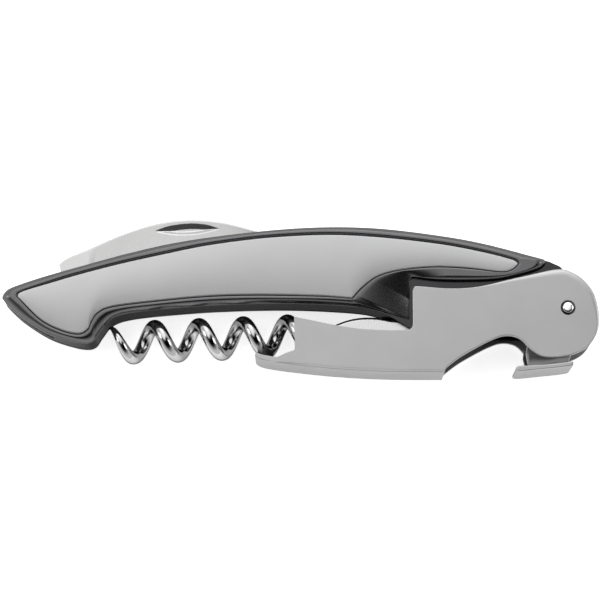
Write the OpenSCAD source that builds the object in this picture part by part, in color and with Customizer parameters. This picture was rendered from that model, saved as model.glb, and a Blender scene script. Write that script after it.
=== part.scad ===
// Lever corkscrew with foil knife and crown cap opener, lying on its back side.
// Millimetres. Origin: middle of the outline, on the surface it lies on. +X to the lever
// pivot, +Y to the knife side, +Z up through the thickness.

/* [Handle] */
// Length over everything, folded
overall_l = 120; // [108:1:132]
// Thickness of the handle over both shells
handle_t = 12; // [10:0.5:14]
// Thickness of one shell
shell_t = 1.8; // [1.4:0.1:2.2]
// Thickness of one inlay
inlay_t = 0.8; // [0.5:0.1:1]
// Thickness of one liner
liner_t = 1.0; // [0.8:0.1:1.2]
// Step at the edge of the shells
rim_step = 0.45; // [0.2:0.05:0.6]

/* [Lever] */
// Width over the lever plates
lever_w = 11.1; // [10.6:0.1:11.6]
// Thickness of the lever sheet
plate_t = 0.95; // [0.8:0.05:1]
// Lever pin diameter
lever_pin_d = 2.1; // [1.8:0.1:3]

/* [Worm] */
// Wire diameter
wire_d = 2.7; // [2:0.1:2.8]
// Outer diameter of the coil
worm_d = 8.9; // [8:0.1:8.9]
// Rise of one turn
pitch = 8.95; // [8:0.05:9.5]
// Full turns before the wire runs in to the axis
turns = 4.5; // [4.5:1:5.5]
// Width of the hub
hub_w = 5.6; // [5:0.1:5.8]
// Worm pin diameter
worm_pin_d = 2.6; // [2:0.1:3]

/* [Knife] */
// Blade thickness
blade_t = 1.6; // [1.2:0.1:1.7]
// Width of the blade slot in the core
knife_slot = 1.9; // [1.8:0.1:2.2]
// Knife pin diameter
knife_pin_d = 3; // [2.5:0.1:3.5]

/* [Fits] */
// Radial clearance of every hinge
run = 0.05; // [0.02:0.01:0.08]
// Side clearance between flat moving faces
side = 0.05; // [0.03:0.01:0.1]

/* [Hidden] */
$fn = 64;
k = overall_l / 120;
mid = handle_t / 2;
liner_out = mid - shell_t;
liner_in = liner_out - liner_t;
lever_out = lever_w / 2;
lever_in = lever_out - plate_t;
lever_at = [53.8, -2.85] * k;
worm_at = [26, -6.6] * k;
knife_at = [-44, 1.7] * k;
worm_tilt = 2.4;
worm_reach = 64.5 * k;
coil_r = (worm_d - wire_d) / 2;
run_in = 0.42;
wall_x = 22.1;
mouth_gap = 0.6;
mouth_len = 4.8;
rivet_d = 2.4;
wall_inset = 0.1;
rivet_at = [[-31, 0.6], [-9, 2.6], [14, 8.2], [37.5, 6.6]] * k;
hub_rivet_x = -13;

dark = [0.25, 0.25, 0.27];
black = [0.1, 0.1, 0.11];
silver = [0.76, 0.77, 0.78];
steel = [0.82, 0.82, 0.83];

// Smooth curve through a few points: each span is a cubic with averaged end slopes.
function span(a, b, c, d, t) =
    0.5 * (2 * b + (c - a) * t + (2 * a - 5 * b + 4 * c - d) * t * t
           + (3 * b - a - 3 * c + d) * t * t * t);
function curve(p, n = 5) =
    [for (i = [0:len(p) - 2], j = [0:n - 1])
        span(p[max(i - 1, 0)], p[i], p[i + 1], p[min(i + 2, len(p) - 1)], j / n),
     p[len(p) - 1]] * k;
function unit(v) = v / norm(v);

// ---- handle outlines ----
function handle_top() = curve([
    [-60, -0.8], [-59.5, 0.3], [-58, 1.4], [-52, 3.5], [-44, 5.8], [-35, 8.3], [-25.5, 10.5],
    [-15, 12.1], [-4, 13.3], [6, 13.8], [16, 13.5], [27, 12.2], [37, 10.4], [49.4, 7.1]]);
function handle_bottom() = curve([
    [22.1, -5.2], [14, -2.9], [6, -2.1], [-4, -1.8], [-16, -2.1], [-26, -2.8],
    [-34, -3.7], [-38, -5], [-40.2, -7.6], [-41.4, -9.4], [-43.2, -9.95], [-46.5, -9.35],
    [-51, -7.75], [-55.8, -4.75], [-58.6, -2.3], [-60, -0.8]]);
function recess_edge() = curve([
    [49.6, 6.3], [48.2, 5.1], [44.2, 3.9], [40, 3], [35, 2.7], [28, 2.8], [22.6, 3.5]]);

module shell_outline()
    polygon(concat(handle_top(), recess_edge(), [[wall_x, 3.1] * k], handle_bottom()));

module inlay_outline() {
    upper = curve([
        [-56.6, -0.8], [-56, 0.35], [-50, 2.3], [-44, 4.1], [-36, 6.2], [-28, 8],
        [-20, 9.7], [-12, 10.9], [-4, 11.7], [6, 12.1], [16, 11.6], [28, 10.2],
        [36, 8.7], [42.6, 7], [43.9, 6], [42.6, 4.8], [40.2, 4.35], [34, 5.1], [27, 5.4],
        [20, 4.7], [15.5, 3.4], [12.4, 1.1], [10.4, -1.1]]);
    lower = curve([
        [10.4, -1.1], [4, -0.6], [-8, -0.35], [-18, -0.6], [-28, -1.5], [-37.5, -2.7],
        [-40.6, -4], [-41.9, -5.8], [-42.6, -7.4], [-44.5, -8.3], [-48.2, -7.4],
        [-52.2, -5.2], [-56.6, -0.8]]);
    polygon(concat(upper, lower));
}

// Steel body of the handle: the shell outline drawn in a little, the boss that carries
// the worm pin and the tongue that carries the lever pin.
module liner_outline() {
    offset(r = -wall_inset) shell_outline();
    polygon([[16, 11], [16, -3.2], [22.9, -7.2], [24.6, -9.4], [27.4, -9.6], [33, -8],
             [53.8, -8], [57.5, -6.3], [58.8, -2.6], [56.4, 1.6], [52.4, 5.8],
             [50.2, 6.8], [45, 7.8]] * k);
    translate(worm_at) circle(r = 3.2);
    translate(lever_at) circle(r = 5.15);
}

module pin_bores() {
    translate(lever_at) circle(d = lever_pin_d);
    translate(worm_at) circle(d = worm_pin_d);
    translate(knife_at) circle(d = knife_pin_d);
    for (p = rivet_at) translate(p) circle(d = rivet_d);
}

// A layer between two heights measured from the middle of the thickness.
module layer(lo, hi) translate([0, 0, mid + lo]) linear_extrude(hi - lo) children();
// The same on the back side, so the two sides are mirror images.
module back_side() translate([0, 0, handle_t]) mirror([0, 0, 1]) children();

// ---- handle parts ----
module shell() difference() {
    union() {
        layer(liner_out, mid - rim_step) shell_outline();
        layer(mid - rim_step, mid) offset(r = -rim_step) shell_outline();
    }
    layer(mid - inlay_t, mid + 1) inlay_outline();
    layer(liner_out - 1, mid + 1) pin_bores();
    // dished panel between the inlay and the lever recess
    layer(mid - 0.6, mid + 1) difference() {
        polygon(concat(curve([[wall_x + 1, 4.2], [17.5, 2.7], [13.5, -0.4], [11.4, -2]]),
                       [[12.5, -2.2], [wall_x + 1, -4.2]] * k));
        offset(r = 0.8) inlay_outline();
    }
}

module front_shell() color(dark) shell();
module back_shell() color(dark) back_side() shell();

module inlay() layer(mid - inlay_t, mid - 0.04) inlay_outline();
module front_inlay() color(silver) inlay();
module back_inlay() color(silver) back_side() inlay();

module liner() layer(liner_in, liner_out) difference() {
    liner_outline();
    pin_bores();
}
module front_liner() color(black) liner();
module back_liner() color(black) back_side() liner();

// Block between the liners at the knife end, slotted for the blade over its whole swing.
module knife_core() color(black) difference() {
    layer(-liner_in, liner_in) difference() {
        intersection() {
            offset(r = -wall_inset) shell_outline();
            union() {
                translate([-61, -12] * k) square([65, 26] * k);
                translate([3, -12] * k) square([17.5, 14] * k);
            }
        }
        pin_bores();
        // right end stands clear of the spine spacer
        polygon([[-5.5, 16], [-3.2, 7], [5, 7], [5, 16]] * k);
    }
    layer(-knife_slot / 2, knife_slot / 2) {
        translate(knife_at) circle(r = 8.45 * k);
        polygon(concat([[-52, -12], [-49.2, -7.2], [-45, -4], [-37.5, 2.1]] * k,
                       curve([[-37.5, 2.1], [-30, 3.5], [-20, 5.7], [-10, 8.9],
                              [-1, 11.2]]),
                       [[-1, 18], [-62, 18], [-62, -12]] * k));
    }
}

// Bar between the liners along the back, from the blade point to the lever pin.
module spine_spacer() color(black) layer(-liner_in, liner_in) difference() {
    intersection() {
        liner_outline();
        union() {
            polygon(concat(curve([[-2.6, 7.4], [8, 8.2], [22, 7.4], [36, 3.8], [45, -1.6],
                                  [50, -6.4]]),
                           [[53, -12], [62, -12], [62, 16], [-4.8, 16]] * k));
            translate(lever_at) circle(r = 5.15);
            translate(rivet_at[2]) circle(r = 2.4);
        }
    }
    pin_bores();
}

module shell_rivets() color(steel)
    for (p = rivet_at) translate([0, 0, mid]) translate(p)
        cylinder(d = rivet_d, h = 2 * (mid - inlay_t), center = true);

module pin(at, d, half) translate([at[0], at[1], mid - half]) cylinder(d = d, h = 2 * half);

module lever_pin() color(steel) pin(lever_at, lever_pin_d, mid - 0.1);
module worm_pin() color(steel) pin(worm_at, worm_pin_d, liner_out);
module knife_pin() color(steel) pin(knife_at, knife_pin_d, mid - inlay_t);

// Two flat rings on one pin, between half thicknesses lo and hi.
module washer_pair(at, d_in, d_out, lo, hi)
    for (s = [0, 1]) translate([0, 0, mid]) mirror([0, 0, s])
        translate([at[0], at[1], lo]) difference() {
            cylinder(d = d_out, h = hi - lo);
            translate([0, 0, -1]) cylinder(d = d_in, h = hi - lo + 2);
        }

module lever_washers() color(steel)
    washer_pair(lever_at, lever_pin_d, 6.4, liner_out, lever_in - side);
module worm_washers() color(steel)
    washer_pair(worm_at, worm_pin_d, 5.4, hub_w / 2 + side, liner_in);
module knife_washers() color(steel)
    washer_pair(knife_at, knife_pin_d, 6, blade_t / 2 + side / 2, knife_slot / 2);

// ---- lever ----
function web_line() = curve([
    [28.9, -16], [17, -15.9], [7, -15.35], [-1.6, -14.45], [-5.8, -13.85]]);

module plate_outline() polygon(concat(
    curve([[-1.2, -4.7], [2, -5.35], [7, -6.4], [12, -7.15], [17.5, -7.45], [21.2, -7.4],
           [22.3, -7], [22.6, -6.1]], 4),
    curve([[22.6, 0.5], [22.9, 1.3], [23.8, 1.55], [30, 1.1], [36, 1.5], [44, 3.45],
           [51.8, 5], [55.2, 4.2], [57.7, 2.2], [59.3, -0.5], [60, -4.3], [59.6, -7.8],
           [57.6, -10.8], [54.5, -12.4], [51, -13], [48.2, -12.7], [46.2, -11.4],
           [44.6, -9.6], [43.2, -8.8], [41.5, -8.55], [39.5, -8.95], [36.2, -10.5],
           [32.2, -12.8], [29.4, -14.9]]),
    web_line(),
    [[-5.8, -13.6], [-4.6, -12.9], [-3, -12.1], [-1, -11.4]] * k));

module web_outline() polygon(concat(
    web_line(),
    curve([[-5.8, -13.85], [-7.6, -13.45], [-8.8, -12.85], [-9, -12.3], [-8.5, -12.1],
           [-7.4, -12.4], [-5.6, -12.75]], 4),
    curve([[-5.6, -12.75], [-1.6, -13.15], [7, -14.05], [17, -14.6], [29.2, -14.7]])));

module hook_outline() polygon(concat(
    curve([[43.2, -15.2], [43.7, -14.7], [46.2, -14.55], [50, -14.3], [54.3, -13.8],
           [54.6, -14.1], [54.1, -14.7], [48, -15.4], [43.9, -15.75], [43.2, -15.2]])));

module lever() color(steel) difference() {
    union() {
        layer(lever_in, lever_out) plate_outline();
        layer(-lever_out, -lever_in) plate_outline();
        layer(-lever_out, lever_out) { web_outline(); hook_outline(); }
        // drawn-in walls that carry the cap hook
        for (s = [-1, 1]) translate([0, 0, s * (lever_in - 0.02)])
            layer(-plate_t / 2, plate_t / 2)
                polygon([[45.6, -9.8], [45.3, -12], [45.9, -14.9], [53.6, -14.3],
                         [54.6, -11.8]] * k);
    }
    translate([lever_at[0], lever_at[1], -1]) cylinder(r = lever_pin_d / 2 + run, h = 30);
    for (s = [-1, 1]) translate([lever_at[0], lever_at[1], mid + s * (lever_out + 0.6)])
        cylinder(d = 3, h = 2, center = true);
}

// ---- worm ----
// Wire middle at turn s: a coil that runs in to the axis, then a straight shank.
function run_in_at(s) = min(max((s - turns) / run_in, 0), 1);
function coil_radius(s) = coil_r * (1 + cos(180 * run_in_at(s))) / 2;
function wire_mid(s) = [pitch * s, coil_radius(s) * cos(360 * s), coil_radius(s) * sin(360 * s)];
function wire_dir(s) = unit(wire_mid(s + 0.002) - wire_mid(s - 0.002));
function wire_r(s) = wire_d / 2 * (0.16 + 0.84 * pow(min(s / 0.5, 1), 0.7));
function ring(s, n) =
    let (t = wire_dir(s), r = [0, cos(360 * s), sin(360 * s)],
         u = unit(r - (r * t) * t), v = cross(t, u))
    [for (i = [0:n - 1]) wire_mid(s) + wire_r(s) * (cos(360 * i / n) * u + sin(360 * i / n) * v)];

module worm_frame() translate([worm_at[0], worm_at[1], mid]) rotate([0, 0, worm_tilt])
    children();

module worm() color(black) worm_frame() translate([-worm_reach, 0, 0]) {
    n = 14;
    per_turn = 20;
    last = (turns + run_in) * per_turn;
    end_s = (worm_reach - 11) / pitch;
    rings = concat([for (i = [0:last]) ring(i / per_turn, n)], [ring(end_s, n)]);
    m = len(rings);
    polyhedron(
        points = [for (r = rings) each r],
        faces = concat(
            [[for (i = [n - 1:-1:0]) i]],
            [for (j = [0:m - 2], i = [0:n - 1]) [j * n + i, j * n + (i + 1) % n,
                (j + 1) * n + (i + 1) % n]],
            [for (j = [0:m - 2], i = [0:n - 1]) [j * n + i, (j + 1) * n + (i + 1) % n,
                (j + 1) * n + i]],
            [[for (i = [0:n - 1]) (m - 1) * n + i]]),
        convexity = 10);
}

// Lens-shaped hub that holds the shank and turns on the worm pin.
module worm_hub() color(steel) worm_frame() difference() {
    translate([0, 0, -hub_w / 2]) linear_extrude(hub_w) difference() {
        union() {
            intersection() {
                translate([-12.7, -12.5]) circle(r = 15.4, $fn = 160);
                translate([-12.7, 12.5]) circle(r = 15.4, $fn = 160);
            }
            translate([-9, -2.1]) square([9, 4.2]);
            circle(r = 2.9);
        }
        circle(r = worm_pin_d / 2 + run);
    }
    translate([-25, 0, 0]) rotate([0, 90, 0]) cylinder(r = wire_d / 2 + 0.01, h = 14);
    translate([-25, 0, 0]) rotate([0, 90, 0])
        cylinder(r = wire_d / 2 + mouth_gap, h = mouth_len);
    translate([hub_rivet_x, 0, 0]) cylinder(d = 1.4, h = hub_w + 2, center = true);
}

module worm_rivet() color(steel) worm_frame() translate([hub_rivet_x, 0, 0])
    cylinder(d = 1.4, h = hub_w, center = true);

// ---- knife ----
function blade_back() = curve([
    [-49, 6.9], [-46.8, 8.4], [-43.1, 9.95], [-36.3, 13], [-29.2, 15.3], [-22.6, 16.1],
    [-16, 15.6], [-10, 14.1], [-5, 12.6]]);
function blade_edge() = curve([[-5, 12.4], [-12, 9.4], [-20, 7], [-30, 4.7], [-37.6, 3.2]]);

module nail_nick() polygon(concat(
    curve([[-29.5, 13.7], [-26.5, 14.75], [-22.3, 15.25], [-19, 15], [-16.4, 14.2]]),
    curve([[-16.4, 14.2], [-19.5, 13.4], [-22.5, 13], [-26, 13.05], [-29.5, 13.7]])));

module knife_blade() color(steel) difference() {
    layer(-blade_t / 2, blade_t / 2) difference() {
        polygon(concat(blade_back(), blade_edge(),
                       [for (a = [340:-12:172]) knife_at + 3.9 * k * [cos(a), sin(a)]]));
        translate(knife_at) circle(r = knife_pin_d / 2 + run);
        // serrations
        edge = blade_edge();
        for (i = [2:17]) translate(edge[i]) circle(r = 0.5, $fn = 24);
    }
    // ground faces, from the middle of the blade down to the edge
    for (s = [0, 1]) translate([0, 0, mid]) mirror([0, 0, s])
        translate([-42.4 * k, 8.4 * k, -blade_t / 2]) rotate([0, 0, 12]) rotate([-5.8, 0, 0])
            translate([1.4, -20, -4]) cube([60, 20, 4]);
    translate([0, 0, mid + blade_t / 2 - 0.25]) linear_extrude(2) nail_nick();
}

front_shell();
back_shell();
front_inlay();
back_inlay();
front_liner();
back_liner();
knife_core();
spine_spacer();
shell_rivets();
lever_pin();
lever_washers();
worm_pin();
worm_washers();
knife_pin();
knife_washers();
lever();
worm();
worm_hub();
worm_rivet();
knife_blade();
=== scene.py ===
import math

import bpy
import numpy as np
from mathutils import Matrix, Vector


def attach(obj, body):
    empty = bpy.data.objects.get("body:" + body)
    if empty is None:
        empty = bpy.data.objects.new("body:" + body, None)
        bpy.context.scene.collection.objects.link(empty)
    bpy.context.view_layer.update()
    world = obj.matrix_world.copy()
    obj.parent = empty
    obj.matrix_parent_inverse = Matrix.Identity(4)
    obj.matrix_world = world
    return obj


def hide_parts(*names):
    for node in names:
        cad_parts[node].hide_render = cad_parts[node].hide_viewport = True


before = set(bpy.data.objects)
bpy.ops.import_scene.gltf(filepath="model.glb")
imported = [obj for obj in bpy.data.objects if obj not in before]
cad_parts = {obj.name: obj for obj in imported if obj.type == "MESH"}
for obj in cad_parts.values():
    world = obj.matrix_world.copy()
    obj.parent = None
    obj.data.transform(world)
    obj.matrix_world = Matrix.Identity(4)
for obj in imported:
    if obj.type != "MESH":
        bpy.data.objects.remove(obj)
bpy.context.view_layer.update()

# ---------------------------------------------------------------- sizes, millimetres
MM = 0.001
MID = 6.0
SHELL_LOW, SHELL_TOP = 10.2, 12.0
LEVER_OUT, LEVER_IN = 5.55, 4.6
LEVER_PIVOT = np.array([53.8, -2.85])
WORM_PIVOT = np.array([26.0, -6.6])
WORM_TILT = math.radians(2.4)
WORM_REACH = 64.5
WIRE_R, COIL_R, PITCH, TURNS, RUN_IN = 1.35, 3.1, 8.95, 4.5, 0.42


# ---------------------------------------------------------------- curves and outlines
def curve(points, n=10):
    """Smooth line through points: each span is the cubic whose end slopes are half the
    chord of the two neighbours."""
    p = np.asarray(points, float)
    q = np.vstack([p[:1], p, p[-1:]])
    a, b, c, d = q[:-3], q[1:-2], q[2:-1], q[3:]
    t = (np.arange(n) / n)[None, :, None]
    a, b, c, d = (x[:, None, :] for x in (a, b, c, d))
    s = 0.5 * (2 * b + (c - a) * t + (2 * a - 5 * b + 4 * c - d) * t**2
               + (3 * b - a - 3 * c + d) * t**3)
    return np.vstack([s.reshape(-1, 2), p[-1:]])


def along(p, closed=False):
    """Running length at each point."""
    q = np.vstack([p, p[:1]]) if closed else p
    return np.concatenate([[0], np.cumsum(np.linalg.norm(np.diff(q, axis=0), axis=1))])


def at_length(p, s, closed=False):
    """Points of p at running lengths s."""
    q = np.vstack([p, p[:1]]) if closed else p
    run = along(q)
    if closed:
        s = np.mod(s, run[-1])
    return np.stack([np.interp(s, run, q[:, i]) for i in range(2)], axis=1)


def even(p, count):
    """count points at even steps round a closed outline."""
    total = along(p, True)[-1]
    return at_length(p, np.arange(count) * total / count, True)


def soften(p, reach):
    """Closed outline averaged along its length with a bell weight of width reach, which
    rounds its corners."""
    step = along(p, True)[-1] / len(p)
    f = np.fft.fftfreq(len(p), step)
    weight = np.exp(-2 * (math.pi * f * reach) ** 2)[:, None]
    return np.real(np.fft.ifft(np.fft.fft(p, axis=0) * weight, axis=0))


def anticlockwise(p):
    x, y = p.T
    area = np.sum(x * np.roll(y, -1) - y * np.roll(x, -1))
    return p if area > 0 else p[::-1].copy()


def outward(p):
    """Unit normal pointing out of an anticlockwise outline."""
    t = np.roll(p, -1, axis=0) - np.roll(p, 1, axis=0)
    n = np.stack([t[:, 1], -t[:, 0]], axis=1)
    return n / np.maximum(np.linalg.norm(n, axis=1), 1e-9)[:, None]


def nearest(p, target):
    """Running length of the point of p that is closest to target."""
    return along(p)[np.argmin(np.linalg.norm(p - np.asarray(target, float), axis=1))]


def matched(p, anchors, grid, closed=False):
    """p sampled so that anchor number k falls at grid value k."""
    fine = at_length(p, np.linspace(0, along(p, closed)[-1], 4000)[:-1 if closed else None],
                     closed)
    marks = np.array([nearest(fine, a) for a in anchors])
    total = along(p, closed)[-1]
    if closed:
        marks = np.append(np.unwrap(marks, period=total), 0)
        marks[-1] = marks[0] + total
    return at_length(p, np.interp(grid, np.arange(len(marks)), marks), closed)


HANDLE_TOP = [[-60, -0.8], [-59.5, 0.3], [-58, 1.4], [-52, 3.5], [-44, 5.8], [-35, 8.3],
              [-25.5, 10.5], [-15, 12.1], [-4, 13.3], [6, 13.8], [16, 13.5], [27, 12.2],
              [37, 10.4], [49.4, 7.1]]
RECESS_EDGE = [[49.6, 6.3], [48.2, 5.1], [44.2, 3.9], [40, 3], [35, 2.7], [28, 2.8],
               [22.6, 3.5]]
HANDLE_BOTTOM = [[22.1, -5.2], [14, -2.9], [6, -2.1], [-4, -1.8], [-16, -2.1], [-26, -2.8],
                 [-34, -3.7], [-38, -5], [-40.2, -7.6], [-41.4, -9.4], [-43.2, -9.95],
                 [-46.5, -9.35], [-51, -7.75], [-55.8, -4.75], [-58.6, -2.3], [-60, -0.8]]
INLAY_UPPER = [[-56.6, -0.8], [-56, 0.35], [-50, 2.3], [-44, 4.1], [-36, 6.2], [-28, 8],
               [-20, 9.7], [-12, 10.9], [-4, 11.7], [6, 12.1], [16, 11.6], [28, 10.2],
               [36, 8.7], [42.6, 7], [43.9, 6]]
INLAY_CURL = [[43.9, 6], [42.6, 4.8], [40.2, 4.35], [34, 5.1], [27, 5.4], [20, 4.7],
              [15.5, 3.4], [12.4, 1.1], [10.4, -1.1]]
INLAY_LOWER = [[10.4, -1.1], [4, -0.6], [-8, -0.35], [-18, -0.6], [-28, -1.5],
               [-37.5, -2.7], [-40.6, -4], [-41.9, -5.8], [-42.6, -7.4], [-44.5, -8.3],
               [-48.2, -7.4], [-52.2, -5.2], [-56.6, -0.8]]
WEB_LINE = [[28.9, -16], [17, -15.9], [7, -15.35], [-1.6, -14.45], [-5.8, -13.85]]

shell_outline = np.vstack([curve(HANDLE_TOP), curve(RECESS_EDGE), [[22.1, 3.1]],
                           curve(HANDLE_BOTTOM)[:-1]])
inlay_outline = np.vstack([curve(INLAY_UPPER)[:-1], curve(INLAY_CURL)[:-1],
                           curve(INLAY_LOWER)[:-1]])
web_line = curve(WEB_LINE)
# the side plates end just inside the web's outer line, nearer to it at the tip
foot_gap = np.interp(web_line[:, 0], [-5.8, 2], [0.03, 0.5])
plate_foot = web_line + np.column_stack([np.zeros(len(web_line)), foot_gap])
plate_outline = np.vstack([
    curve([[-1.2, -4.7], [2, -5.35], [7, -6.4], [12, -7.15], [17.5, -7.45], [21.2, -7.4],
           [22.3, -7], [22.6, -6.1]]),
    curve([[22.6, 0.5], [22.9, 1.3], [23.8, 1.55], [30, 1.1], [36, 1.5], [44, 3.45],
           [51.8, 5], [55.2, 4.2], [57.7, 2.2], [59.3, -0.5], [60, -4.3], [59.6, -7.8],
           [57.6, -10.8], [54.5, -12.4], [51, -13], [48.2, -12.7], [46.2, -11.4],
           [44.6, -9.6], [43.2, -8.8], [41.5, -8.55], [39.5, -8.95], [36.2, -10.5],
           [32.2, -12.8], [29.4, -14.9]]),
    plate_foot,
    [[-5.8, -13.6], [-4.6, -12.9], [-3, -12.1], [-1, -11.4]]])
web_outline = np.vstack([
    web_line,
    curve([[-5.8, -13.85], [-7.6, -13.45], [-8.8, -12.85], [-9, -12.3], [-8.5, -12.1],
           [-7.4, -12.4], [-5.6, -12.75]])[1:],
    curve([[-5.6, -12.75], [-1.6, -13.15], [7, -14.05], [17, -14.6], [29.2, -14.7]])[1:]])
hook_outline = curve([[43.2, -15.2], [43.7, -14.7], [46.2, -14.55], [50, -14.3],
                      [54.3, -13.8], [54.6, -14.1], [54.1, -14.7], [48, -15.4],
                      [43.9, -15.75], [43.2, -15.2]])[:-1]
neck_outline = np.array([[45.6, -9.8], [45.3, -12], [45.9, -14.9], [53.6, -14.3],
                         [54.6, -11.8]])


# ---------------------------------------------------------------- meshes
def piece(name, body, nodes, slot, finish, verts, faces):
    """Puts verts (mm) and faces into a mesh that rides on body and stands for nodes. Faces
    of more than four corners are flat ends and are shaded flat."""
    mesh = bpy.data.meshes.new(name)
    mesh.from_pydata((np.asarray(verts) * MM).tolist(), [], [list(f) for f in faces])
    mesh.polygons.foreach_set("use_smooth", [len(f) <= 4 for f in faces])
    mesh.validate()
    mesh.update()
    mesh.materials.append(finish)
    obj = bpy.data.objects.new(name, mesh)
    bpy.context.scene.collection.objects.link(obj)
    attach(obj, body)
    if nodes:
        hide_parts(*nodes)
    return obj


def ring_faces(rows, cols, wrap_rows=False):
    """Quads of a grid of rows of cols points, each row closed on itself."""
    i = np.arange(rows if wrap_rows else rows - 1)[:, None]
    j = np.arange(cols)[None, :]
    i2, j2 = (i + 1) % rows, (j + 1) % cols
    f = np.stack([i * cols + j, i * cols + j2, i2 * cols + j2, i2 * cols + j], axis=-1)
    return f.reshape(-1, 4).tolist()


def join(parts):
    """One vertex and face list out of several."""
    verts, faces, base = [], [], 0
    for v, f in parts:
        verts.append(np.asarray(v, float))
        faces += [[base + i for i in g] for g in f]
        base += len(v)
    return np.vstack(verts), faces


def flipped(v, f):
    """The same solid seen in the mirror of the middle plane, faces still outward."""
    v = np.asarray(v, float).copy()
    v[:, 2] = 2 * MID - v[:, 2]
    return v, [g[::-1] for g in f]


def plate(outline, low, high, r_low, r_high, wide=None, steps=7, hole=None):
    """Flat solid with rounded edges. Its rings follow the outline drawn in by
    w(1 - sin a) at height r(1 - cos a) from each face, a quarter ellipse of width w and
    depth r; both may differ from point to point, and w is r where it isn't given.
    hole = (centre, outer radius, inner radius, depth) is a stepped bore."""
    p = outline
    n = outward(p)
    r_low = np.broadcast_to(r_low, len(p))
    r_high = np.broadcast_to(r_high, len(p))
    wide = r_high if wide is None else wide
    a = np.linspace(0, math.pi / 2, steps)
    rings = [np.column_stack([p - n * (r_low * (1 - math.sin(x)))[:, None],
                              low + r_low * (1 - math.cos(x))]) for x in a]
    rings += [np.column_stack([p - n * (wide * (1 - math.sin(x)))[:, None],
                               high - r_high * (1 - math.cos(x))]) for x in a[::-1]]
    cols = len(p)
    verts = np.vstack(rings)
    faces = ring_faces(len(rings), cols)
    first = list(range(cols))
    last = [(len(rings) - 1) * cols + i for i in range(cols)]
    if hole is None:
        return verts, faces + [first[::-1], last]
    centre, r_out, r_in, depth = hole
    m = 48
    t = np.arange(m) * 2 * math.pi / m
    unit = np.stack([np.cos(t), np.sin(t)], axis=1)
    bore = [(r_in, low), (r_in, high - depth), (r_out - 0.05, high - depth),
            (r_out - 0.03, high - 0.08), (r_out + 0.06, high)]
    base = len(verts)
    verts = np.vstack([verts] + [np.column_stack([centre + r * unit, np.full(m, z)])
                                 for r, z in bore])
    faces += [[base + i for i in f][::-1] for f in ring_faces(len(bore), m)]
    right = int(np.argmin(np.abs(np.arctan2(*(p - centre).T[::-1]))))
    left = int(np.argmax(np.abs(np.arctan2(*(p - centre).T[::-1]))))
    for ring0, hole0, up in ((0, base, False),
                             ((len(rings) - 1) * cols, base + (len(bore) - 1) * m, True)):
        go = (left - right) % cols
        upper = [ring0 + (right + i) % cols for i in range(go + 1)]
        lower = [ring0 + (left + i) % cols for i in range((right - left) % cols + 1)]
        inner_up = [hole0 + i for i in range(m // 2, -1, -1)]
        inner_low = [hole0 + i % m for i in range(m, m // 2 - 1, -1)]
        for f in (upper + inner_up, lower + inner_low):
            faces.append(f if up else f[::-1])
    return verts, faces


def lathe(profile, centre, n=48):
    """Closed solid from (radius, height) pairs turned about an upright axis."""
    t = np.arange(n) * 2 * math.pi / n
    rings = [np.column_stack([centre[0] + r * np.cos(t), centre[1] + r * np.sin(t),
                              np.full(n, z)]) for r, z in profile]
    faces = ring_faces(len(profile), n)
    return np.vstack(rings), faces + [list(range(n))[::-1],
                                      [(len(profile) - 1) * n + i for i in range(n)]]


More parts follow.
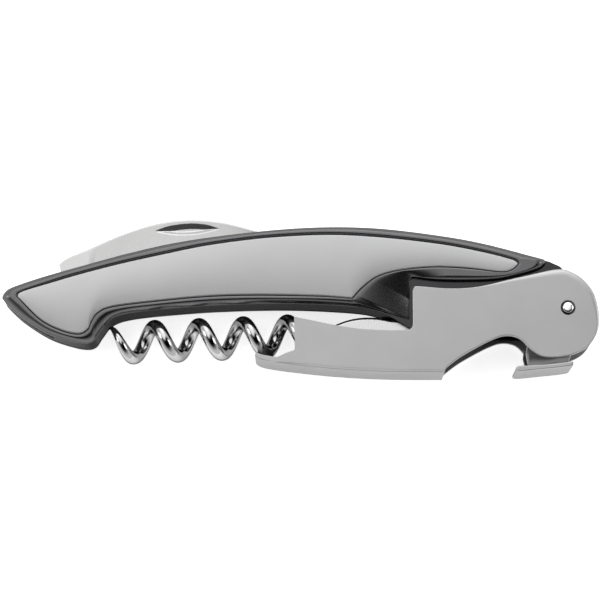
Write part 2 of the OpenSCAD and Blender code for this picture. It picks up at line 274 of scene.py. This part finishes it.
# ---------------------------------------------------------------- finishes
def finish(name, colour, metallic, roughness, grain, spread=0.05, bump=0.02,
           rough_spread=0.1, edge=1.0):
    """A finish whose colour, gloss and fine relief all come from two noises on the
    piece's own coordinates: a stretched grain and a slow cloud. edge dims the gloss seen
    at a glancing angle."""
    mat = bpy.data.materials.new(name)
    mat.use_nodes = True
    nt = mat.node_tree
    out = nt.nodes["Principled BSDF"]
    out.inputs["Metallic"].default_value = metallic
    out.inputs["Specular Tint"].default_value = (edge, edge, edge, 1)
    coords = nt.nodes.new("ShaderNodeTexCoord")
    stretch = nt.nodes.new("ShaderNodeMapping")
    stretch.inputs["Scale"].default_value = grain
    nt.links.new(coords.outputs["Object"], stretch.inputs["Vector"])
    fine = nt.nodes.new("ShaderNodeTexNoise")
    fine.inputs["Scale"].default_value = 1
    fine.inputs["Detail"].default_value = 4
    nt.links.new(stretch.outputs["Vector"], fine.inputs["Vector"])
    cloud = nt.nodes.new("ShaderNodeTexNoise")
    cloud.inputs["Scale"].default_value = 90
    cloud.inputs["Detail"].default_value = 3
    nt.links.new(coords.outputs["Object"], cloud.inputs["Vector"])

    def ramp(source, low, high):
        m = nt.nodes.new("ShaderNodeMapRange")
        m.inputs["From Min"].default_value = 0.3
        m.inputs["From Max"].default_value = 0.7
        m.inputs["To Min"].default_value = low
        m.inputs["To Max"].default_value = high
        nt.links.new(source, m.inputs["Value"])
        return m.outputs["Result"]

    shade = nt.nodes.new("ShaderNodeMix")
    shade.data_type = "RGBA"
    dark = [c * (1 - spread) for c in colour]
    light = [min(c * (1 + spread), 1) for c in colour]
    shade.inputs["A"].default_value = (*dark, 1)
    shade.inputs["B"].default_value = (*light, 1)
    both = nt.nodes.new("ShaderNodeMath")
    both.operation = "MULTIPLY_ADD"
    both.inputs[1].default_value = 0.5
    nt.links.new(ramp(fine.outputs["Fac"], 0, 1), both.inputs[0])
    half = nt.nodes.new("ShaderNodeMath")
    half.operation = "MULTIPLY"
    half.inputs[1].default_value = 0.5
    nt.links.new(ramp(cloud.outputs["Fac"], 0, 1), half.inputs[0])
    nt.links.new(half.outputs[0], both.inputs[2])
    nt.links.new(both.outputs[0], shade.inputs["Factor"])
    nt.links.new(shade.outputs["Result"], out.inputs["Base Color"])
    nt.links.new(ramp(fine.outputs["Fac"], roughness * (1 - rough_spread),
                      roughness * (1 + rough_spread)), out.inputs["Roughness"])
    relief = nt.nodes.new("ShaderNodeBump")
    relief.inputs["Strength"].default_value = bump
    relief.inputs["Distance"].default_value = 0.0001
    nt.links.new(fine.outputs["Fac"], relief.inputs["Height"])
    nt.links.new(relief.outputs["Normal"], out.inputs["Normal"])
    return mat


inlay_silver = finish("inlay_silver", (0.435, 0.435, 0.44), 0.9, 0.38,
                      (9000, 9000, 9000), 0.04, 0.08, 0.12)
lever_satin = finish("lever_satin", (0.415, 0.415, 0.415), 0.95, 0.36,
                     (3500, 14000, 9000), 0.06, 0.1, 0.14, 0.58)
frame_gunmetal = finish("frame_gunmetal", (0.118, 0.118, 0.121), 1.0, 0.27,
                        (5000, 5000, 5000), 0.08, 0.02, 0.15, 0.42)
liner_black = finish("liner_black", (0.04, 0.04, 0.042), 1.0, 0.24,
                     (4000, 4000, 4000), 0.2, 0.03, 0.2, 0.35)
# painted shade: the knife core's gunmetal is made far darker than the frame's, so the handle's
# wall under the lever and the worm holder reads as shaded
core_painted_shade = finish("core_painted_shade", (0.05, 0.05, 0.052), 1.0, 0.22,
                   (5000, 5000, 5000), 0.08, 0.04, 0.2, 0.22)
worm_chrome = finish("worm_chrome", (0.43, 0.43, 0.43), 1.0, 0.09,
                     (6000, 6000, 6000), 0.15, 0.03, 0.3, 0.15)
blade_satin = finish("blade_satin", (0.5, 0.5, 0.497), 1.0, 0.3,
                     (16000, 2500, 9000), 0.03, 0.06, 0.15)
hub_satin = finish("hub_satin", (0.58, 0.58, 0.58), 1.0, 0.28,
                   (9000, 9000, 9000), 0.03, 0.05, 0.15, 0.3)
pin_steel = finish("pin_steel", (0.8, 0.8, 0.8), 1.0, 0.16,
                   (9000, 9000, 9000), 0.04, 0.04, 0.2)


# ---------------------------------------------------------------- handle
SHELL_MARKS = [[-60, -0.8], [-44, 5.8], [-25.5, 10.5], [-4, 13.3], [16, 13.5], [37, 10.4],
               [45.5, 8.3], [49.5, 6.7], [46, 4.35], [35, 2.7], [22.6, 3.5], [22.1, -1],
               [22.1, -5.2], [12, -2.6], [-4, -1.8], [-26, -2.8], [-36.5, -4.4],
               [-40.2, -7.6], [-43.2, -9.95], [-51, -7.75]]
INLAY_MARKS = [[-56.6, -0.8], [-44, 4.1], [-24.9, 8.7], [-4, 11.7], [16, 11.6],
               [36, 8.7], [43.4, 6.6], [43.9, 6], [42.6, 4.8], [34, 5.1], [20.5, 4.8],
               [14.5, 2.9], [11.2, -0.3], [9.6, -1.05], [-4, -0.4], [-26, -1.3],
               [-36.5, -2.55], [-41.9, -5.8], [-43.9, -8.2], [-50.2, -6.4]]
RIM_WIDE, RIM_DEEP = 2.1, 1.7
LIP_W, LIP_D = 0.3, 0.08
GROOVE_W, GROOVE_D = 0.16, 0.4
DISH_D, DEEPEST = 1.7, 1.75


def shell(cols=1200):
    """Closed ring round the inlay: straight lines from the outer outline to the inlay
    outline carry the section of the rim, which is a quarter ellipse at the outside, a
    flat, a lip that rolls down and a narrow groove. Between the inlay's curl and the
    lever recess the section also sinks as (share of the way out) to the power 1.5, a dish
    for the thumb, and the outer edge is nearly sharp."""
    marks = len(SHELL_MARKS)
    grid = np.arange(cols) * marks / cols
    outer = soften(even(shell_outline, 2400), 0.22)
    inner = soften(even(inlay_outline, 2400), 0.12)
    o = matched(outer, SHELL_MARKS, grid, True)
    i = matched(inner, INLAY_MARKS, grid, True)
    wide = np.linalg.norm(i - o, axis=1)
    near = np.interp(grid, [9.4, 10.3, 11, 12.2, 13.1], [0, 0.55, 1, 1, 0])
    sharp = np.interp(grid, [7, 8.2, 9.4, 9.9, 12.1, 12.8], [1, 0.5, 0.5, 0.08, 0.08, 1])
    edge = np.minimum(RIM_WIDE, (wide - LIP_W - GROOVE_W) * 0.88) * sharp
    deep = RIM_DEEP * np.clip(sharp * 1.2, 0, 1)
    a = np.linspace(0, math.pi / 2, 12)
    steps = [edge * (1 - math.cos(x)) for x in a]
    drops = [deep * (1 - math.sin(x)) for x in a]
    for s in np.linspace(0, 1, 12)[1:]:
        steps.append(edge + (wide - GROOVE_W - LIP_W - edge) * s)
        drops.append(np.zeros(cols))
    for s in (0.35, 0.7, 1):
        steps.append(wide - GROOVE_W - LIP_W * (1 - s))
        drops.append(np.full(cols, LIP_D * s**1.6))
    for s, d in ((0.3, 0.6), (0.6, 1), (1, 1)):
        steps.append(wide - GROOVE_W * (1 - s))
        drops.append(np.full(cols, LIP_D + (GROOVE_D - LIP_D) * d))
    rings = []
    for s, d in zip(steps, drops):
        share = s / wide
        dish = DISH_D * near * np.clip(1 - share, 0, 1) ** 1.5
        rings.append(np.column_stack([o + (i - o) * share[:, None],
                                      SHELL_TOP - np.minimum(d + dish, DEEPEST)]))
    rings.append(np.column_stack([i, np.full(cols, SHELL_LOW)]))
    rings.insert(0, np.column_stack([o, np.full(cols, SHELL_LOW)]))
    return np.vstack(rings), ring_faces(len(rings), cols, True)


PANEL_UPPER = [[-56.6, -0.8], [-54, 1.05], [-50, 2.3], [-44, 4.1], [-41, 5], [-37, 6],
               [-28, 8], [-12, 10.9], [4, 12.05], [10, 12], [14, 11.75], [20, 11.2],
               [28, 10.2], [36, 8.7], [42.4, 7.05], [43.9, 6]]
PANEL_LOWER = [[-56.6, -0.8], [-54.4, -3.2], [-50.2, -6.4], [-44.5, -8.3], [-41.9, -5.8],
               [-37.5, -2.7], [-28, -1.5], [-12, -0.4], [4, -0.6], [10.4, -1.1],
               [13.6, 2.2], [20, 4.7], [27, 5.4], [34, 5.1], [42, 4.6], [43.9, 6]]


PANEL_TOP, PANEL_FOOT = 11.95, 11.25
PANEL_GAP, PANEL_CROWN, PANEL_EASE = 0.05, 0.2, 0.16


def inlay(cols=560, rows=36):
    """Panel ruled between its upper and lower edge lines. It sinks from the middle of its
    width outward by PANEL_CROWN times the square of the distance, and its edges are
    eased. Where it is narrower than 9 mm the crown is less in proportion."""
    grid = np.linspace(0, len(PANEL_UPPER) - 1, cols)
    up = matched(curve(INLAY_UPPER, 30), PANEL_UPPER, grid)
    low_line = np.vstack([curve(INLAY_CURL, 30)[:-1], curve(INLAY_LOWER, 30)])[::-1]
    low = matched(low_line, PANEL_LOWER, grid)
    gap = up - low
    wide = np.maximum(np.linalg.norm(gap, axis=1), 1e-6)
    low = low + gap * np.minimum(PANEL_GAP / wide, 0.4)[:, None]
    up = up - gap * np.minimum(PANEL_GAP / wide, 0.4)[:, None]
    wide = np.linalg.norm(up - low, axis=1)
    v = (1 - np.cos(np.linspace(0, math.pi, rows))) / 2
    p = low[None] + (up - low)[None] * v[:, None, None]
    off = np.minimum(v, 1 - v)[:, None] * wide[None]
    ease = PANEL_EASE * np.clip(1 - off / PANEL_EASE, 0, 1) ** 2
    crown = PANEL_CROWN * (2 * v - 1)[:, None] ** 2 * np.clip(wide / 9, 0, 1)[None]
    top = np.dstack([p, PANEL_TOP - crown - ease])
    foot = np.dstack([p[[-1, 0]], np.full((2, cols), PANEL_FOOT)])
    loop = np.concatenate([top, foot])
    verts = loop.transpose(1, 0, 2).reshape(-1, 3)
    n = rows + 2
    faces = ring_faces(cols, n)
    return verts, faces + [list(range(n))[::-1], [(cols - 1) * n + i for i in range(n)]]


def facing_out(v, f):
    """Faces turned round if the solid's volume comes out negative."""
    v = np.asarray(v, float)
    total = 0.0
    for g in f:
        q = v[g]
        total += np.sum(np.cross(q[1:-1], q[2:]) @ q[0])
    return (v, f) if total > 0 else (v, [g[::-1] for g in f])


shell_v, shell_f = facing_out(*shell())
piece("front_frame", "handle", ["front_shell"], "frame", frame_gunmetal, shell_v, shell_f)
piece("back_frame", "handle", ["back_shell"], "frame", frame_gunmetal,
      *flipped(shell_v, shell_f))
inlay_v, inlay_f = facing_out(*inlay())
piece("front_panel", "handle", ["front_inlay"], "inlay", inlay_silver, inlay_v, inlay_f)
piece("back_panel", "handle", ["back_inlay"], "inlay", inlay_silver,
      *flipped(inlay_v, inlay_f))

pin_profile = [(0.9, 0.12), (1.02, 0.22), (1.05, 0.4), (1.05, 11.7), (1.04, 11.8),
               (0.99, 11.86), (0.6, 11.88), (0.2, 11.89)]
piece("lever_rivet", "handle", ["lever_pin"], "rivet", pin_steel,
      *facing_out(*lathe(pin_profile, LEVER_PIVOT)))

# ---------------------------------------------------------------- lever
NECK_LEAN = 0.42
EDGE_R, HEAD_DEEP, HEAD_WIDE, FOOT_LESS = 0.2, 0.2, 1.0, 0.12
plate_line = soften(even(anticlockwise(plate_outline), 1500), 0.14)
x, y = plate_line.T
head = np.clip((x - 36) / 14, 0, 1) * np.clip((y + 9) / 9, 0, 1)
tail = np.clip((x + 5.8) / 4, 0.1, 1) * np.where((x < 21) & (y > -11), 0.35, 1)
low_edge = np.interp(x, [-2.5, 0, 28.7, 29.6], [0, 1, 1, 0]) * (y < -12.9)
edge_deep = (EDGE_R + HEAD_DEEP * head - FOOT_LESS * low_edge) * tail
edge_wide = (EDGE_R + HEAD_WIDE * head - FOOT_LESS * low_edge) * tail
near_plate = plate(plate_line, MID + LEVER_IN, MID + LEVER_OUT, 0.1 * tail, edge_deep,
                   edge_wide, hole=(LEVER_PIVOT, 1.5, 1.35, 0.85))
web = plate(soften(even(anticlockwise(web_outline), 700), 0.1), MID - LEVER_OUT + 0.03,
            MID + LEVER_OUT - 0.03, 0.2, 0.16)
hook = plate(soften(even(anticlockwise(hook_outline), 300), 0.05), MID - LEVER_OUT,
             MID + LEVER_OUT, 0.2, 0.2)
neck_line = soften(even(anticlockwise(neck_outline), 300), 0.15)
neck_v, neck_f = plate(neck_line, MID + 3.7, MID + 4.65, 0.1, 0.2)
# the neck leans in towards the hook
neck_v[:, 2] -= NECK_LEAN * np.clip(-11 - neck_v[:, 1], 0, None)
neck = (neck_v, neck_f)
near_plate, web, hook, neck = (facing_out(*p) for p in (near_plate, web, hook, neck))
piece("lever_arm", "lever", ["lever"], "lever_steel", lever_satin,
      *join([near_plate, flipped(*near_plate), web, hook, neck, flipped(*neck)]))


# ---------------------------------------------------------------- worm
def place_on_worm(v):
    """From the worm's own axis, pivot at the origin, into the folded place."""
    c, s = math.cos(WORM_TILT), math.sin(WORM_TILT)
    return np.column_stack([WORM_PIVOT[0] + c * v[:, 0] - s * v[:, 1],
                            WORM_PIVOT[1] + s * v[:, 0] + c * v[:, 1], MID + v[:, 2]])


def wire(sides=28, per_turn=56):
    """Coil whose middle line is radius R about the axis; R falls to nought as half a
    cosine over the run-in, then the shank is straight. Wire radius grows from the point
    as turn number to the power 0.7 over the first half turn."""
    last = (WORM_REACH - 11) / PITCH
    s = np.concatenate([np.arange(0, TURNS + RUN_IN, 1 / per_turn),
                        np.linspace(TURNS + RUN_IN, last, 12)])

    def middle(s):
        r = COIL_R * (1 + np.cos(math.pi * np.clip((s - TURNS) / RUN_IN, 0, 1))) / 2
        a = 2 * math.pi * s
        return np.stack([PITCH * s, r * np.cos(a), r * np.sin(a)], axis=1)

    t = middle(s + 0.002) - middle(s - 0.002)
    t /= np.linalg.norm(t, axis=1)[:, None]
    a = 2 * math.pi * s
    out = np.stack([np.zeros_like(a), np.cos(a), np.sin(a)], axis=1)
    u = out - np.sum(out * t, axis=1)[:, None] * t
    u /= np.linalg.norm(u, axis=1)[:, None]
    w = np.cross(t, u)
    r = WIRE_R * (0.1 + 0.9 * np.clip(s / 0.5, 0, 1) ** 0.7)
    b = np.arange(sides) * 2 * math.pi / sides
    v = (middle(s)[:, None] + r[:, None, None]
         * (np.cos(b)[None, :, None] * u[:, None] + np.sin(b)[None, :, None] * w[:, None]))
    v = v.reshape(-1, 3) - np.array([WORM_REACH, 0, 0])
    rows = len(s)
    return place_on_worm(v), ring_faces(rows, sides) + [
        list(range(sides))[::-1], [(rows - 1) * sides + i for i in range(sides)]]


piece("worm_wire", "worm", ["worm"], "worm_plating", worm_chrome, *facing_out(*wire()))


def hub_outline():
    """Lens of two equal arcs about the shank, run into the round of the pivot."""
    xs = np.linspace(-21.6, 2.9, 200)
    lens = np.sqrt(np.maximum(15.4**2 - (xs + 12.7) ** 2, 0)) - 12.5
    bar = np.where(xs > -9, 2.1, 0)
    ball = np.sqrt(np.maximum(2.9**2 - xs**2, 0))
    h = np.maximum(np.maximum(lens, np.where(xs <= 0, bar, 0)), ball)
    h[0] = h[-1] = 0
    h = np.maximum(h, 0)
    return np.vstack([np.column_stack([xs, -h]), np.column_stack([xs, h])[::-1][1:-1]])


HUB_HALF, HUB_ROUND = 2.78, 0.7
hub_line = anticlockwise(soften(even(hub_outline(), 400), 0.2))
hub_round = HUB_ROUND * np.clip((hub_line[:, 0] + 21.6) / 3.5, 0.12, 1)
hub_deep = hub_round * np.interp(hub_line[:, 0], [-12, -6], [2, 1])
hub_v, hub_f = facing_out(*plate(hub_line, -HUB_HALF, HUB_HALF, hub_deep, hub_deep, hub_round))
piece("worm_holder", "worm", ["worm_hub"], "hub_steel", hub_satin,
      place_on_worm(hub_v), hub_f)

# ---------------------------------------------------------------- knife
BACK = [[-49, 6.9], [-46.8, 8.4], [-43.1, 9.95], [-36.3, 13], [-29.2, 15.3], [-22.6, 16.1],
        [-16, 15.6], [-10, 14.1], [-5, 12.6]]
EDGE = [[-5, 12.4], [-12, 9.4], [-20, 7], [-30, 4.7], [-37.6, 3.2]]
TANG = [[-48.1, 3.6], [-47.6, 0.2], [-44, -2.1], [-40.6, -0.2], [-37.6, 3.2]]
NICK_TOP = [[-29.5, 13.7], [-26.5, 14.75], [-22.3, 15.25], [-19, 15], [-16.4, 14.2]]
NICK_LOW = [[-29.5, 13.7], [-26, 13.05], [-22.5, 13], [-19.5, 13.4], [-16.4, 14.2]]
BLADE_HALF, GRIND_D, NICK_D = 0.8, 0.2, 0.5
PLUNGE_X, PLUNGE_W = -42.6, 1.1
HEEL_D, HEEL_W = 0.35, 0.4
TOOTH_D, TOOTH_X = 0.28, 1.7
BACK_D, BACK_W = 0.16, 0.22


def blade(cols=340, rows=84):
    """Blade ruled from its back line (v = 0) to its edge line (v = 1). Half thickness is
    BLADE_HALF at the tang and is hollow ground past the plunge line, where it falls by
    GRIND_D (1 - (1 - v)^1.6). The nail nick is a valley between two arcs with straight
    slopes for walls. The edge carries a row of scallops, TOOTH_D |sin(pi x / TOOTH_X)|."""
    grid = np.linspace(0, 1, cols)
    back = curve(BACK, 30)
    back = at_length(back, grid * along(back)[-1])
    low = np.vstack([curve(TANG, 12)[:-1], curve(EDGE[::-1], 20)])
    low = np.column_stack([np.interp(grid, along(low) / along(low)[-1], low[:, i])
                           for i in range(2)])
    ground = np.clip((back[:, 0] - PLUNGE_X) / PLUNGE_W, 0, 1)
    heel = HEEL_D * np.clip(1 - grid * along(back)[-1] / HEEL_W, 0, 1) ** 2
    teeth = TOOTH_D * np.abs(np.sin(math.pi * (low[:, 0] + 5) / TOOTH_X))
    teeth *= np.clip((low[:, 0] + 36) / 2, 0, 1) * np.clip((-8 - low[:, 0]) / 2, 0, 1)
    low = low + np.column_stack([np.zeros(cols), teeth])
    v = np.linspace(0, 1, rows)[:, None]
    p = back[None] + (low - back)[None] * v[:, :, None]
    half = BLADE_HALF - GRIND_D * (1 - (1 - v) ** 1.6) * ground[None]
    from_back = v * np.linalg.norm(low - back, axis=1)
    back_round = BACK_D * np.clip(1 - from_back / BACK_W, 0, 1) ** 2
    top = curve(NICK_TOP, 20)
    bottom = curve(NICK_LOW, 20)
    hi = np.interp(p[..., 0], top[:, 0], top[:, 1], -99, -99) - p[..., 1]
    lo = p[..., 1] - np.interp(p[..., 0], bottom[:, 0], bottom[:, 1], 99, 99)
    nick = NICK_D * np.clip(np.minimum(hi / 0.9, lo / 0.7), 0, 1)
    front = np.dstack([p, MID + half - back_round - nick - heel])
    rear = np.dstack([p, MID - half + back_round + heel])[::-1]
    loop = np.concatenate([front, rear])
    n = 2 * rows
    verts = loop.transpose(1, 0, 2).reshape(-1, 3)
    return verts, ring_faces(cols, n) + [list(range(n))[::-1],
                                         [(cols - 1) * n + i for i in range(n)]]


piece("foil_blade", "knife", ["knife_blade"], "blade_steel", blade_satin,
      *facing_out(*blade()))

# ---------------------------------------------------------------- inner parts, as in CAD
INNER = {"front_liner": liner_black, "back_liner": liner_black,
         # the knife core takes the darker gunmetal, painted shade for the handle's wall under
         # the lever
         "knife_core": core_painted_shade, "spine_spacer": liner_black,
         # the lever washers take the near-black liner finish, painted shade that makes the
         # ring round the lever pin read dark
         "shell_rivets": pin_steel, "lever_washers": liner_black, "worm_pin": pin_steel,
         "worm_washers": pin_steel, "knife_pin": pin_steel, "knife_washers": pin_steel,
         "worm_rivet": hub_satin}
for node, mat in INNER.items():
    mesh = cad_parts[node].data
    mesh.materials.clear()
    mesh.materials.append(mat)

# ---------------------------------------------------------------- room
floor_mesh = bpy.data.meshes.new("floor")
floor_mesh.from_pydata([(-3, -3, 0), (3, -3, 0), (3, 3, 0), (-3, 3, 0)], [], [(0, 1, 2, 3)])
floor_mat = finish("floor_paper", (0.93, 0.93, 0.93), 0.0, 0.9, (300, 300, 300), 0.004,
                   0.005, 0.02)
glow = floor_mat.node_tree.nodes["Principled BSDF"]
glow.inputs["Emission Color"].default_value = (1, 1, 1, 1)
glow.inputs["Emission Strength"].default_value = 0.7
floor_mesh.materials.append(floor_mat)
floor = bpy.data.objects.new("floor", floor_mesh)
floor.location.z = -0.0002
bpy.context.scene.collection.objects.link(floor)


def softbox(name, place, target, size, watts):
    """Square area light that faces target."""
    data = bpy.data.lights.new(name, "AREA")
    data.size = size
    data.energy = watts
    lamp = bpy.data.objects.new(name, data)
    lamp.location = place
    aim = Vector(target) - Vector(place)
    lamp.rotation_euler = aim.to_track_quat("-Z", "Y").to_euler()
    bpy.context.scene.collection.objects.link(lamp)
    return lamp


softbox("left_box", (-0.75, 0.1, 0.6), (0, 0, 0), 0.4, 1.5)
softbox("right_box", (0.75, 0.1, 0.6), (0, 0, 0), 0.4, 1.5)
softbox("back_box", (0, 0.75, 0.6), (0, 0, 0), 0.4, 0.4)

# a wide soft ceiling light behind the middle, two black flags before it, pale low walls
CEILING = (0, 0.5, 0.866)
FLAGS = ((0.15, -0.55, 0.82), (0.62, -0.12, 0.77))
world = bpy.data.worlds.new("studio")
world.use_nodes = True
wn = world.node_tree
sky = wn.nodes["Background"]
sky.inputs["Color"].default_value = (1, 1, 1, 1)
way = wn.nodes.new("ShaderNodeTexCoord")


def towards(direction):
    """Cosine of the angle between a ray and a fixed direction."""
    dot = wn.nodes.new("ShaderNodeVectorMath")
    dot.operation = "DOT_PRODUCT"
    dot.inputs[1].default_value = Vector(direction).normalized()
    wn.links.new(way.outputs["Generated"], dot.inputs[0])
    return dot.outputs["Value"]


def smooth_step(source, start, end, low, high):
    m = wn.nodes.new("ShaderNodeMapRange")
    m.interpolation_type = "SMOOTHSTEP"
    for name, value in (("From Min", start), ("From Max", end), ("To Min", low),
                        ("To Max", high)):
        m.inputs[name].default_value = value
    wn.links.new(source, m.inputs["Value"])
    return m.outputs["Result"]


def arithmetic(operation, a, b):
    m = wn.nodes.new("ShaderNodeMath")
    m.operation = operation
    wn.links.new(a, m.inputs[0])
    wn.links.new(b, m.inputs[1])
    return m.outputs["Value"]


ceiling = smooth_step(towards(CEILING), 0.68, 1.0, 0.1, 1.9)
for flag in FLAGS:
    shade = smooth_step(towards(flag), 0.76, 0.9, 1, 0.03)
    ceiling = arithmetic("MULTIPLY", ceiling, shade)
walls = smooth_step(towards((0, 0, 1)), 0.3, 0.84, 0.95, 0)
room = arithmetic("ADD", ceiling, walls)
# what the camera sees past the floor is plain white
lens_ray = wn.nodes.new("ShaderNodeLightPath")
seen_room = arithmetic("MAXIMUM", room, lens_ray.outputs["Is Camera Ray"])
wn.links.new(seen_room, sky.inputs["Strength"])
bpy.context.scene.world = world
bpy.context.scene.view_settings.view_transform = "Standard"

# ---------------------------------------------------------------- camera
RISE = math.radians(80)
AWAY = 0.55
target = Vector((0, -0.00035, 0.006))
cam_data = bpy.data.cameras.new("camera")
cam_data.sensor_width = 36
cam_data.lens = AWAY * 36 / 0.1217
cam_data.clip_start = 0.01
cam = bpy.data.objects.new("camera", cam_data)
cam.location = target + AWAY * Vector((0, -math.cos(RISE), math.sin(RISE)))
cam.rotation_euler = (math.pi / 2 - RISE, 0, 0)
bpy.context.scene.collection.objects.link(cam)
bpy.context.scene.camera = cam
